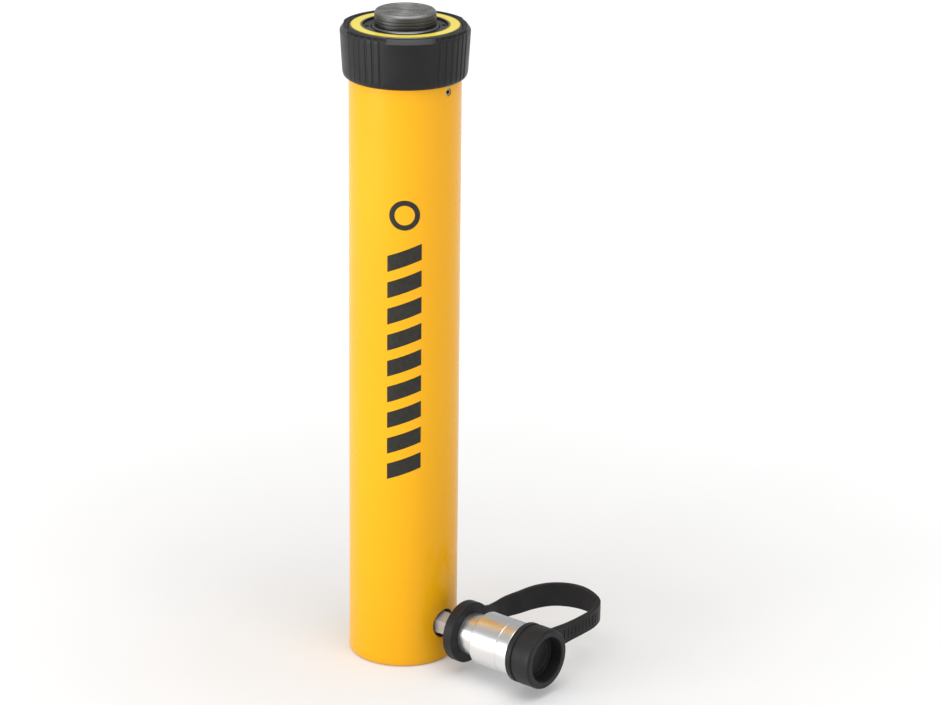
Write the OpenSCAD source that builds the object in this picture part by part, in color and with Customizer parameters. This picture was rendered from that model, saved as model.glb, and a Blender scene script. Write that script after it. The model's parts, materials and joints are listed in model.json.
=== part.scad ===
// Single-acting, spring-return hydraulic cylinder with a screw-on collar
// protector and a hose coupler under a tethered dust cap.
// Millimetres. Origin: centre of the base face. +Z: plunger axis, up.
// +X: the hose coupler. Every circle is a true cylinder or revolution.

/* [Cylinder body] */
// outside diameter of the steel body
body_d = 69.85; // [60:0.05:90]
// height of the steel body, base face to top face
body_h = 415.7; // [300:0.1:500]
// bore diameter
bore_d = 50.8; // [40:0.1:60]
// height of the bore floor above the base face
floor_z = 20; // [14:0.5:30]
// chamfer round the base edge
base_chamfer = 0.9; // [0.3:0.1:3]
// lowest groove of the collar thread
thread_z = 384.4; // [300:0.1:470]
// collar thread pitch, 16 threads per inch
thread_pitch = 1.5875; // [1:0.0125:3]
// number of collar thread grooves
thread_n = 19; // [6:1:24]
// collar thread depth
thread_depth = 0.95; // [0.4:0.05:1.5]
// distance between the two tapped holes in the base
base_hole_spacing = 47.6; // [40:0.1:60]
// tapped base hole diameter, minor diameter of the thread
base_hole_d = 7.94; // [6:0.02:12]
// tapped base hole depth
base_hole_depth = 12.7; // [6:0.1:16]

/* [Gland and plunger] */
// gland thread diameter in the top of the body
gland_d = 52.4; // [46:0.1:62]
// lower face of the gland, the stop for the piston
gland_z = 367; // [300:0.5:460]
// how far the gland sits below the body's top face
gland_sink = 1; // [0:0.1:3]
// plunger rod diameter
rod_d = 41.3; // [30:0.1:46]
// hollow inside the plunger, around the spring
rod_bore_d = 31; // [20:0.5:36]
// piston head diameter
piston_d = 50.68; // [40:0.02:60]
// lower face of the piston head
head_z0 = 35; // [26:0.5:50]
// upper face of the piston head
head_z1 = 61.95; // [50:0.05:90]
// internal thread in the plunger's top, mean diameter
plunger_thread_d = 23.9; // [16:0.1:30]
// depth of the plunger's internal thread
plunger_thread_depth = 25.4; // [12:0.1:40]

/* [Saddle] */
// saddle diameter
saddle_d = 38.1; // [30:0.1:60]
// height of the saddle above the plunger
saddle_h = 9.2; // [5:0.1:20]
// saddle stem diameter
stem_d = 21.2; // [14:0.1:23]

/* [Thread protector] */
// protector height
protector_h = 32.3; // [20:0.1:50]
// outside diameter near the top
protector_d1 = 80.5; // [76:0.1:100]
// outside diameter near the bottom
protector_d0 = 77.4; // [74:0.1:96]
// bore, clear of the collar thread
protector_bore_d = 70.6; // [70.5:0.05:76]
// flutes between two smooth panels
flute_n = 6; // [2:1:9]
// angle between two flutes
flute_step = 7.2; // [5:0.1:12]

/* [Coupler] */
// height of the port and coupler axis
port_z = 25.4; // [20:0.1:40]
// port hole diameter
port_d = 17.2; // [10:0.1:22]
// coupler sleeve diameter
sleeve_d = 35; // [28:0.1:40]
// start of the sleeve, from the cylinder's axis
sleeve_x0 = 58; // [57.9:0.1:62]
// end of the sleeve
sleeve_x1 = 100; // [96:0.5:100.5]
// end of the threaded nose
nose_x = 108.4; // [108:0.1:108.5]
// nose thread diameter
nose_d = 32.8; // [24:0.1:38]

/* [Dust cap and strap] */
// outer end of the dust cap
cap_x1 = 120; // [118:0.5:130]
// dust cap diameter
cap_d = 39; // [36:0.1:46]
// round recess in the cap's outer end
cap_recess_d = 29.6; // [20:0.1:32]
// strap thickness
strap_t = 2.8; // [1.5:0.1:5]
// outside diameter of the strap's ring
strap_ring_d = 40; // [34:0.1:46]

/* [Hidden] */
$fn = 96;
body_r = body_d / 2;
bore_r = bore_d / 2;
gland_r = gland_d / 2;
rod_r = rod_d / 2;
rod_bore_r = rod_bore_d / 2;
piston_r = piston_d / 2;
saddle_r = saddle_d / 2;
stem_r = stem_d / 2;
sleeve_r = sleeve_d / 2;
nose_r = nose_d / 2;
cap_r = cap_d / 2;
port_r = port_d / 2;
plunger_thread_r = plunger_thread_d / 2;
// radial slack where the plunger slides
slide_fit = 0.05;
// smallest gap between pieces that move past each other without a fit
free_gap = 0.35;
eps = 0.01;
gland_top = body_h - gland_sink;
gland_bore_r = rod_r + free_gap;
// pockets in the gland for the bearing and the wiper
bearing_r = 23.2;
bearing_z0 = gland_z + 0.5;
bearing_z1 = gland_z + 25;
wiper_r = 23.4;
wiper_z0 = gland_top - 13.4;
wiper_z1 = gland_top - 6.4;
// grooves in the piston head
wear_z0 = head_z0 + 3.5;
wear_z1 = head_z0 + 9.5;
wear_groove_r = 23.4;
seal_z0 = head_z0 + 13;
seal_z1 = head_z0 + 19;
seal_groove_z1 = head_z0 + 20.5;
seal_groove_r = 21.9;
nose_piston_r = 22.5;
// spring and its anchors
coil_r = 13.9;
coil_bore_r = 9;
anchor_boss_r = 8.9;
spring_z0 = 27;
spring_z1 = 359;
spring_n = 68;
partition_z = 366;
// screw through the base
screw_r = 5;
screw_head_r = 7.8;
counterbore_r = 9.5;
counterbore_z = 11;
washer_t = 1.2;
screw_tip_z = 34.8;
set_screw_r = 2.6;
set_screw_z = 379;
// saddle ring groove
ring_groove_z0 = 402.2;
ring_groove_z1 = 405.4;
ring_groove_r = 9.1;
ring_wire_r = 1.1;
ring_r = 10.5;
// coupler stations along X
spot_x = 33.4;
spot_r = 9.6;
shank_x = 26;
// hexagon for a spanner: radius at its corners, radius of the round core and outer end
neck_hex_r = 8.2;
neck_core_r = 7;
neck_hex_x = 45;
ring_seat_r = 13.2;
ring_seat_x = 48.2;
ring_x0 = 50.2;
ring_x1 = 57.6;
barrel_end_r = 13.6;
step_x = 70;
spigot_r = 9;
spigot_x = 64;
oil_r = 4;
cavity_r = 11;
insert_r = 13;
insert_x = 90;
seat_x0 = 98;
seat_x1 = 101.5;
seat_r = 6;
nose_bore_r = 9;
seal_wire_r = 0.95;
poppet_x0 = 95;
poppet_tip_x = 102;
guide_x0 = 66;
guide_x1 = 69;
guide_hub_x = 72;
coil2_r = 6.4;
coil2_n = 10;
// dust cap stations along X
cap_x0 = 101;
cap_web_x0 = 108.8;
cap_web_x1 = 111;
groove_x = 90.8;
cap_groove_x = 105.2;
tab_y = 21.5;
ring_tab_y = 22.5;
strap_z0 = 27.7;
strap_w0 = 16.4;
strap_w1 = 16;
strap_end_x = 106.6;
strap_end_z = 27.6;
// webs that widen the strap into the ring and the cap: y, and z above the coupler's axis
ring_web = [[6, 18.2], [9, 17.1], [12, 15.1], [15, 13.2], [18, 11.6], [ring_tab_y, 10.5],
    [ring_tab_y, -5.9], [18, -7.6], [15, -10.2], [12, -13.4], [9, -16.4], [6, -18.2]];
cap_web = [[6, 18.2], [9, 17.2], [12, 15.2], [15, 13.2], [18, 11.5], [tab_y, 10.2],
    [tab_y, -5.8], [18, -7.8], [15, -10.6], [12, -13.8], [9, -16.6], [6, -18.2]];
// strap centre line: x, y, z and width, from the ring to the dust cap
strap_path = [
    [(ring_x0 + ring_x1) / 2, ring_tab_y, strap_z0, strap_w0],
    [53.5, 30, 28.3, 14.6],
    [54.5, 38.5, 29.6, 14.6],
    [58.2, 47.5, 30.8, 15.6],
    [62.5, 56.5, 32.4, 16.2],
    [68, 64, 33.5, 16.2],
    [74.5, 68.8, 34.2, 16.2],
    [82, 72.3, 34.4, 16.2],
    [90.5, 74.2, 34.1, 15.8],
    [99.3, 73.4, 33.3, 14.6],
    [106.9, 69, 32.5, 13.4],
    [110.4, 59.6, 31.3, 12.8],
    [109.8, 48, 30, 12.8],
    [107.6, 36, 28.4, 13.2],
    [strap_end_x, tab_y + 0.03, strap_end_z, strap_w1]
];
strap_sub = 4;

// V grooves down a profile: r at the crests, r - depth at the roots
function grooves(r, depth, z0, pitch, n) =
    [for (i = [0 : n - 1]) for (k = [0 : 2]) [r - (k == 1 ? depth : 0), z0 + (i + k * 0.45) * pitch]];

// smooth curve through four neighbours, t from 0 to 1
function spline(a, b, c, d, t) =
    0.5 * (2 * b + (c - a) * t + (2 * a - 5 * b + 4 * c - d) * t * t + (3 * b - a - 3 * c + d) * t * t * t);

function at(list, i) = list[max(0, min(len(list) - 1, i))];

function smooth(list, sub) = concat(
    [for (i = [0 : len(list) - 2]) for (k = [0 : sub - 1])
        spline(at(list, i - 1), list[i], list[i + 1], at(list, i + 2), k / sub)],
    [list[len(list) - 1]]);

// direction of travel at station i, forced square at both ends
function heading(p, i) =
    i == 0 ? [0, 1] : i == len(p) - 1 ? [0, -1] :
    let (d = [p[i + 1][0] - p[i - 1][0], p[i + 1][1] - p[i - 1][1]]) d / norm(d);

module along_x() {
    translate([0, 0, port_z]) rotate([0, 90, 0]) rotate_extrude() children();
}

module barrel_section() {
    polygon(concat(
        [[0, 0], [body_r - base_chamfer, 0], [body_r, base_chamfer]],
        grooves(body_r, thread_depth, thread_z, thread_pitch, thread_n),
        [[body_r, body_h - 0.8], [body_r - 0.8, body_h],
         [gland_r, body_h], [gland_r, gland_z], [bore_r, gland_z], [bore_r, floor_z], [0, floor_z]]));
}

module barrel() {
    color([0.96, 0.68, 0.12]) difference() {
        rotate_extrude() barrel_section();
        // port, drilled through to the bore, with its spot face
        translate([21, 0, port_z]) rotate([0, 90, 0]) cylinder(h = 20, r = port_r);
        translate([spot_x, 0, port_z]) rotate([0, 90, 0]) cylinder(h = 10, r = spot_r);
        // tapped base holes
        for (s = [-1, 1]) translate([0, s * base_hole_spacing / 2, -eps])
            cylinder(h = base_hole_depth + eps, d = base_hole_d);
        // counterbore and hole for the spring anchor's screw
        translate([0, 0, -eps]) cylinder(h = counterbore_z + eps, r = counterbore_r);
        cylinder(h = floor_z + 1, r = screw_r);
        // gland set screw hole
        translate([gland_r - 1, 0, set_screw_z]) rotate([0, 90, 0]) cylinder(h = 20, r = set_screw_r);
    }
}

module stop_ring() {
    color([0.2, 0.2, 0.22]) difference() {
        rotate_extrude() polygon([
            [bearing_r, gland_z], [gland_r - 0.8, gland_z], [gland_r, gland_z + 0.8],
            [gland_r, gland_top - 0.5], [gland_r - 0.5, gland_top], [gland_bore_r + 0.5, gland_top],
            [gland_bore_r, gland_top - 0.5], [gland_bore_r, wiper_z1], [wiper_r, wiper_z1],
            [wiper_r, wiper_z0], [gland_bore_r, wiper_z0], [gland_bore_r, bearing_z1],
            [bearing_r, bearing_z1]]);
        // spanner holes
        for (a = [45 : 90 : 315]) rotate(a) translate([(gland_bore_r + gland_r) / 2, 0, gland_top - 3.5])
            cylinder(h = 5, r = 1.5);
    }
}

module rod_bearing() {
    color([0.72, 0.53, 0.25]) rotate_extrude() polygon([
        [rod_r + slide_fit, bearing_z0 + 0.6], [rod_r + 0.6, bearing_z0], [bearing_r, bearing_z0],
        [bearing_r, bearing_z1], [rod_r + 0.6, bearing_z1], [rod_r + slide_fit, bearing_z1 - 0.6]]);
}

module rod_wiper() {
    color([0.12, 0.12, 0.13]) rotate_extrude() polygon([
        [rod_r + 0.9, wiper_z0], [wiper_r, wiper_z0], [wiper_r, wiper_z1], [rod_r + 1.6, wiper_z1],
        [rod_r + 1.1, wiper_z1 - 1.5], [rod_r + slide_fit, wiper_z1 - 0.2],
        [rod_r + slide_fit, wiper_z1 - 1.2], [rod_r + 0.9, wiper_z0 + 2.5]]);
}

module gland_set_screw() {
    color([0.6, 0.6, 0.6]) translate([gland_r, 0, set_screw_z]) rotate([0, 90, 0]) difference() {
        cylinder(h = body_r - gland_r - 0.6, r = set_screw_r);
        translate([0, 0, body_r - gland_r - 3.6]) cylinder(h = 5, d = 2.9, $fn = 6);
    }
}

module anchor_screw() {
    head_z = counterbore_z - washer_t;
    color([0.3, 0.3, 0.32]) difference() {
        union() {
            translate([0, 0, 2.2]) cylinder(h = head_z - 2.2, r = screw_head_r);
            translate([0, 0, head_z - 1]) cylinder(h = screw_tip_z - head_z + 1, r = screw_r);
        }
        translate([0, 0, 1]) cylinder(h = 5.6, d = 9.2, $fn = 6);
    }
}

module sealing_washer() {
    color([0.72, 0.42, 0.26]) rotate_extrude()
        translate([screw_r, counterbore_z - washer_t]) square([3.9, washer_t]);
}

module spring_anchor_lower() {
    color([0.45, 0.45, 0.47]) rotate_extrude() polygon([
        [screw_r, floor_z], [coil_r, floor_z], [coil_r, spring_z0], [anchor_boss_r, spring_z0],
        [anchor_boss_r, spring_z0 + 13], [anchor_boss_r - 1, spring_z0 + 14], [0, spring_z0 + 14],
        [0, screw_tip_z], [screw_r, screw_tip_z]]);
}

module spring_anchor_upper() {
    color([0.45, 0.45, 0.47]) rotate_extrude() polygon([
        [0, spring_z1 - 14], [anchor_boss_r - 1, spring_z1 - 14], [anchor_boss_r, spring_z1 - 13],
        [anchor_boss_r, spring_z1 + 0.05], [rod_bore_r - 0.5, spring_z1 + 0.05],
        [rod_bore_r, spring_z1 + 0.55], [rod_bore_r, partition_z], [0, partition_z]]);
}

module return_spring() {
    pitch = (spring_z1 - spring_z0) / spring_n;
    color([0.35, 0.35, 0.38]) rotate_extrude() polygon(concat(
        [for (i = [0 : spring_n - 1]) for (k = [0 : 1])
            [coil_r - (k == 0 ? 0.9 : 0), spring_z0 + (i + k / 2) * pitch]],
        [[coil_r - 0.9, spring_z1]],
        [for (i = [spring_n : -1 : 1]) for (k = [0 : 1])
            [coil_bore_r + (k == 0 ? 0.9 : 0), spring_z0 + (i - k / 2) * pitch]],
        [[coil_bore_r + 0.9, spring_z0]]));
}

module plunger() {
    mouth_z = body_h - plunger_thread_depth;
    color([0.75, 0.76, 0.78]) rotate_extrude() polygon([
        [rod_bore_r + 1, floor_z], [nose_piston_r - 1, floor_z], [nose_piston_r, floor_z + 1],
        [nose_piston_r, head_z0], [piston_r - 0.8, head_z0], [piston_r, head_z0 + 0.8],
        [piston_r, wear_z0], [wear_groove_r, wear_z0], [wear_groove_r, wear_z1], [piston_r, wear_z1],
        [piston_r, seal_z0], [seal_groove_r, seal_z0], [seal_groove_r, seal_groove_z1],
        [piston_r, seal_groove_z1], [piston_r, head_z1 - 0.8], [piston_r - 0.8, head_z1],
        [rod_r, head_z1], [rod_r, body_h - 0.9], [rod_r - 0.9, body_h],
        [plunger_thread_r + 0.8, body_h], [plunger_thread_r, body_h - 0.8], [plunger_thread_r, mouth_z],
        [0, mouth_z - 6], [0, partition_z], [rod_bore_r, partition_z], [rod_bore_r, floor_z + 1]]);
}

module wear_ring() {
    color([0.5, 0.4, 0.22]) rotate_extrude() translate([wear_groove_r, wear_z0])
        square([bore_r - 0.04 - wear_groove_r, wear_z1 - wear_z0]);
}

module piston_seal() {
    lip_r = bore_r - 0.02;
    mid_r = (seal_groove_r + lip_r) / 2;
    color([0.1, 0.25, 0.45]) rotate_extrude() polygon([
        [seal_groove_r, seal_z0 + 0.3], [mid_r - 0.7, seal_z0 + 0.3], [mid_r, seal_z0 + 3],
        [mid_r + 0.7, seal_z0 + 0.3], [lip_r, seal_z0 + 0.3], [lip_r, seal_z0 + 2],
        [lip_r - 0.3, seal_z1], [seal_groove_r, seal_z1]]);
}

module backup_ring() {
    color([0.85, 0.83, 0.75]) rotate_extrude() translate([seal_groove_r, seal_z1])
        square([bore_r - 0.1 - seal_groove_r, seal_groove_z1 - seal_z1]);
}

module saddle_retaining_ring() {
    mid_z = (ring_groove_z0 + ring_groove_z1) / 2;
    color([0.5, 0.5, 0.52]) rotate_extrude() translate([ring_r, mid_z]) circle(r = ring_wire_r, $fn = 32);
}

module saddle() {
    top = body_h + saddle_h;
    color([0.4, 0.4, 0.4]) rotate_extrude() polygon(concat(
        [[0, body_h - 18.4], [stem_r - 1, body_h - 18.4], [stem_r, body_h - 17.4],
         [stem_r, ring_groove_z0], [ring_groove_r, ring_groove_z0], [ring_groove_r, ring_groove_z1],
         [stem_r, ring_groove_z1], [stem_r, body_h], [saddle_r - 0.7, body_h], [saddle_r, body_h + 0.7],
         [saddle_r, body_h + 2.4], [saddle_r - 0.5, body_h + 2.7], [saddle_r - 0.5, body_h + 3.4],
         [saddle_r, body_h + 3.7], [saddle_r, body_h + 5], [saddle_r - 0.5, body_h + 5.3],
         [saddle_r - 0.5, body_h + 6], [saddle_r, body_h + 6.3], [saddle_r, top - 2],
         [saddle_r - 1.9, top]],
        [for (r = [15.4 : -2.4 : 3.4]) for (k = [0 : 2]) [r - k * 0.55, top - (k == 1 ? 0.7 : 0)]],
        [[0, top]]));
}

module thread_protector() {
    z0 = body_h - protector_h;
    r0 = protector_d0 / 2;
    r1 = protector_d1 / 2;
    bore = protector_bore_d / 2;
    taper = atan((r1 - r0) / (protector_h - 6.7));
    color([0.12, 0.12, 0.12]) difference() {
        rotate_extrude() polygon([
            [bore + 0.3, z0], [36.6, z0], [38, z0 + 1], [r0 - 0.25, z0 + 2.4], [r0, z0 + 4],
            [r1, body_h - 2.7], [r1 - 0.5, body_h - 1.7], [r1 - 2.1, body_h], [bore + 0.3, body_h],
            [bore, body_h - 0.3], [bore, z0 + 0.3]]);
        // flutes between the four smooth panels
        for (q = [0 : 3]) for (k = [0 : flute_n - 1])
            rotate(q * 90 + (k - (flute_n - 1) / 2) * flute_step)
                translate([r0 + 0.75, 0, z0 + 4]) rotate([0, taper, 0])
                    translate([0, 0, -10]) cylinder(h = protector_h + 20, r = 1.35, $fn = 32);
    }
}

module coupler_neck() {
    color([0.72, 0.72, 0.7]) union() {
        along_x() polygon([
            [oil_r, shank_x], [port_r - 0.6, shank_x], [port_r, shank_x + 0.6], [port_r, spot_x],
            [neck_core_r, spot_x], [neck_core_r, neck_hex_x], [neck_hex_r, neck_hex_x],
            [neck_hex_r, ring_seat_x - 1], [ring_seat_r - 1, ring_seat_x],
            [ring_seat_r, ring_seat_x + 1], [ring_seat_r, sleeve_x0], [spigot_r, sleeve_x0],
            [spigot_r, spigot_x], [oil_r, spigot_x]]);
        // the hexagon, a corner upwards
        translate([spot_x - 1, 0, port_z]) rotate([0, 90, 0]) difference() {
            cylinder(h = neck_hex_x - spot_x + 2, r = neck_hex_r, $fn = 6);
            translate([0, 0, -1]) cylinder(h = neck_hex_x - spot_x + 4, r = oil_r + 1);
        }
    }
}

module coupler_sleeve() {
    color([0.82, 0.82, 0.8]) along_x() polygon([
        [spigot_r, sleeve_x0], [barrel_end_r - 0.5, sleeve_x0], [barrel_end_r, sleeve_x0 + 0.5],
        [barrel_end_r, step_x], [sleeve_r - 0.6, step_x], [sleeve_r, step_x + 0.6],
        [sleeve_r, groove_x - 0.3], [sleeve_r - 0.4, groove_x], [sleeve_r - 0.4, groove_x + 0.6],
        [sleeve_r, groove_x + 0.9],
        [sleeve_r, sleeve_x1 - 0.6], [sleeve_r - 0.6, sleeve_x1], [insert_r, sleeve_x1],
        [insert_r, insert_x], [cavity_r, insert_x], [cavity_r, spigot_x], [spigot_r, spigot_x]]);
}

module coupler_nose() {
    color([0.78, 0.78, 0.76]) along_x() polygon(concat(
        [[nose_bore_r, insert_x], [insert_r, insert_x], [insert_r, sleeve_x1], [nose_r, sleeve_x1]],
        grooves(nose_r, 0.65, sleeve_x1 + 1, 2.2, 3),
        [[nose_r, nose_x - 0.6], [nose_r - 0.6, nose_x], [nose_bore_r, nose_x]]));
}

module valve_seat() {
    color([0.7, 0.7, 0.72]) along_x() polygon([
        [seat_r, seat_x0], [nose_bore_r, seat_x0], [nose_bore_r, seat_x1], [seat_r, seat_x1]]);
}

module coupler_seal() {
    color([0.1, 0.1, 0.1]) along_x()
        translate([nose_bore_r - seal_wire_r, seat_x1 + seal_wire_r]) circle(r = seal_wire_r, $fn = 32);
}

module spring_guide() {
    color([0.6, 0.6, 0.6]) difference() {
        along_x() polygon([
            [2.85, guide_x0], [cavity_r, guide_x0], [cavity_r, guide_x1], [3.9, guide_x1],
            [3.9, guide_hub_x], [2.85, guide_hub_x]]);
        // oil holes
        for (a = [45 : 90 : 315]) translate([guide_x0 - 1, 0, port_z]) rotate([0, 90, 0]) rotate(a)
            translate([8.6, 0, 0]) cylinder(h = 5, r = 1.5, $fn = 32);
    }
}

module valve_spring() {
    pitch = (poppet_x0 - guide_x1) / coil2_n;
    color([0.5, 0.5, 0.52]) along_x() polygon(concat(
        [for (i = [0 : coil2_n - 1]) for (k = [0 : 1])
            [coil2_r - (k == 0 ? 0.6 : 0), guide_x1 + (i + k / 2) * pitch]],
        [[coil2_r - 0.6, poppet_x0], [4.9, poppet_x0], [4.9, guide_x1]]));
}

module valve_poppet() {
    color([0.7, 0.7, 0.72]) along_x() polygon([
        [0, guide_x0 + 1], [2, guide_x0 + 1], [2.5, guide_x0 + 1.5], [2.5, poppet_x0], [8, poppet_x0],
        [8, seat_x0], [5.4, seat_x0], [5.4, poppet_tip_x - 1], [4.4, poppet_tip_x], [0, poppet_tip_x]]);
}

// flat web as thick as the strap, centred on a station along X, clear of the coupler by inner_r
module web(x, outline, inner_r) {
    translate([x - strap_t / 2, 0, port_z]) rotate([90, 0, 90]) linear_extrude(strap_t) difference() {
        polygon(outline);
        circle(r = inner_r);
    }
}

module strap_ring() {
    mid_x = (ring_x0 + ring_x1) / 2;
    ring_r1 = strap_ring_d / 2;
    color([0.13, 0.13, 0.13]) union() {
        along_x() polygon([
            [ring_seat_r, ring_x0], [ring_r1 - 0.6, ring_x0], [ring_r1, ring_x0 + 0.6],
            [ring_r1, ring_x1 - 0.6], [ring_r1 - 0.6, ring_x1], [ring_seat_r, ring_x1]]);
        web(mid_x, ring_web, ring_seat_r + 1);
    }
}

module cap_strap() {
    p = smooth(strap_path, strap_sub);
    n = len(p);
    pts = [for (i = [0 : n - 1])
        let (h = heading(p, i), sx = h[1] * strap_t / 2, sy = -h[0] * strap_t / 2, w = p[i][3] / 2)
        for (c = [[1, -1], [1, 1], [-1, 1], [-1, -1]])
            [p[i][0] + c[0] * sx, p[i][1] + c[0] * sy, p[i][2] + c[1] * w]];
    sides = [for (i = [0 : n - 2]) for (k = [0 : 3]) for (t = [0 : 1])
        let (a = i * 4 + k, b = i * 4 + (k + 1) % 4)
        t == 0 ? [a, a + 4, b + 4] : [a, b + 4, b]];
    color([0.14, 0.14, 0.14])
        polyhedron(points = pts, faces = concat([[0, 1, 2], [0, 2, 3]], sides,
            [[4 * n - 4, 4 * n - 2, 4 * n - 3], [4 * n - 4, 4 * n - 1, 4 * n - 2]]));
}

module dust_cap() {
    recess_r = cap_recess_d / 2;
    cap_inner_r = nose_r + free_gap;
    color([0.13, 0.13, 0.13]) union() {
        along_x() polygon([
            [cap_inner_r, cap_x0 + 0.5], [cap_inner_r + 0.5, cap_x0], [cap_r - 1, cap_x0],
            [cap_r, cap_x0 + 1], [cap_r, cap_groove_x - 0.4], [cap_r - 0.7, cap_groove_x],
            [cap_r - 0.7, cap_groove_x + 0.7], [cap_r, cap_groove_x + 1.3], [cap_r, cap_x1 - 1.5],
            [cap_r - 1.5, cap_x1], [recess_r + 0.8, cap_x1], [recess_r, cap_x1 - 0.8],
            [recess_r - 0.5, cap_web_x1], [0, cap_web_x1], [0, cap_web_x0],
            [cap_inner_r, cap_web_x0]]);
        web(strap_end_x, cap_web, cap_inner_r + 1);
    }
}

barrel();
stop_ring();
rod_bearing();
rod_wiper();
gland_set_screw();
anchor_screw();
sealing_washer();
spring_anchor_lower();
spring_anchor_upper();
return_spring();
plunger();
wear_ring();
piston_seal();
backup_ring();
saddle_retaining_ring();
saddle();
thread_protector();
coupler_neck();
coupler_sleeve();
coupler_nose();
valve_seat();
coupler_seal();
spring_guide();
valve_spring();
valve_poppet();
strap_ring();
cap_strap();
dust_cap();
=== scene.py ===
"""Looks for the spring-return hydraulic cylinder: detailed pieces and procedural materials
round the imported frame. Lengths are in millimetres until they reach a mesh, which is in metres."""

import json
import math

import bmesh
import bpy
from mathutils import Matrix, Vector


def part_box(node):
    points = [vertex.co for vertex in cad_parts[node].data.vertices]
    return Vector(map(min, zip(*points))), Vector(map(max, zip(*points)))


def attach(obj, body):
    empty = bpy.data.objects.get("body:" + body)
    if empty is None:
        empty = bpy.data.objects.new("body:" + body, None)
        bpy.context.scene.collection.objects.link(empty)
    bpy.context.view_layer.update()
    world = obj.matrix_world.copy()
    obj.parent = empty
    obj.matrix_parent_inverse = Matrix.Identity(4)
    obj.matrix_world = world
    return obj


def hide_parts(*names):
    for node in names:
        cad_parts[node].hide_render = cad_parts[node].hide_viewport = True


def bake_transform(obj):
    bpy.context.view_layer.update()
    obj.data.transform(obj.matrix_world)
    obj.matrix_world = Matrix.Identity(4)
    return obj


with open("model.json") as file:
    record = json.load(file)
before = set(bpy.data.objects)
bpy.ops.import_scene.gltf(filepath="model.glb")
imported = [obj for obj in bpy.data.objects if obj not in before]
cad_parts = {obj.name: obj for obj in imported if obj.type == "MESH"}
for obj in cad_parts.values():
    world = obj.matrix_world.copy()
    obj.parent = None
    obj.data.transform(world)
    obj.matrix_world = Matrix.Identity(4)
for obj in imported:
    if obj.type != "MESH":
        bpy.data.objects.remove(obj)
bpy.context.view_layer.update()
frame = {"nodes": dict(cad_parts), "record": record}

MM = 0.001
NODES = frame["nodes"]


def box_mm(node):
    """A CAD node's lowest and highest corners, in millimetres."""
    lo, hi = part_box(node)
    return lo / MM, hi / MM


# ---------------------------------------------------------------- sizes taken from the frame

BARREL_HI = box_mm("barrel")[1]
BODY_R = BARREL_HI.y
BODY_TOP = BARREL_HI.z
GLAND_R = box_mm("stop_ring")[1].y
PROTECTOR_LO, PROTECTOR_HI = box_mm("thread_protector")
SADDLE_LO, SADDLE_HI = box_mm("saddle")
SLEEVE_LO, SLEEVE_HI = box_mm("coupler_sleeve")
NECK_LO, NECK_HI = box_mm("coupler_neck")
NOSE_LO, NOSE_HI = box_mm("coupler_nose")
CAP_LO, CAP_HI = box_mm("dust_cap")
RING_LO, RING_HI = box_mm("strap_ring")
SPRING_LO, SPRING_HI = box_mm("return_spring")
VALVE_SPRING_LO, VALVE_SPRING_HI = box_mm("valve_spring")
PORT_Z = (SLEEVE_LO.z + SLEEVE_HI.z) / 2
COUPLER_AXIS = (0, 0, PORT_Z)
SCREW_R = 2.6
SCREW_Z = box_mm("gland_set_screw")[0].z + SCREW_R

# ---------------------------------------------------------------- camera

CAMERA_AZIMUTH = math.radians(40.86)
CAMERA_DISTANCE = 1.975
CAMERA_HEIGHT = 0.916
CAMERA_PITCH = math.radians(19.86)
CAMERA_YAW = math.radians(1.208)
CAMERA_ROLL = math.radians(0.622)
CAMERA_LENS = 127.1


def make_camera():
    """The photographer's place: turned about the object, then aimed by yaw, pitch and roll."""
    data = bpy.data.cameras.new("camera")
    data.sensor_width = 36
    data.lens = CAMERA_LENS
    data.clip_start = 0.05
    data.clip_end = 50
    camera = bpy.data.objects.new("camera", data)
    bpy.context.scene.collection.objects.link(camera)
    turn = Matrix.Rotation(CAMERA_AZIMUTH, 4, "Z")
    place = turn @ Vector((0, -CAMERA_DISTANCE, CAMERA_HEIGHT))
    aim = Matrix.Rotation(CAMERA_AZIMUTH - CAMERA_YAW, 4, "Z")
    aim = aim @ Matrix.Rotation(math.pi / 2 - CAMERA_PITCH, 4, "X")
    aim = aim @ Matrix.Rotation(CAMERA_ROLL, 4, "Z")
    camera.matrix_world = Matrix.Translation(place) @ aim
    bpy.context.scene.camera = camera


# ---------------------------------------------------------------- materials


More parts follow.
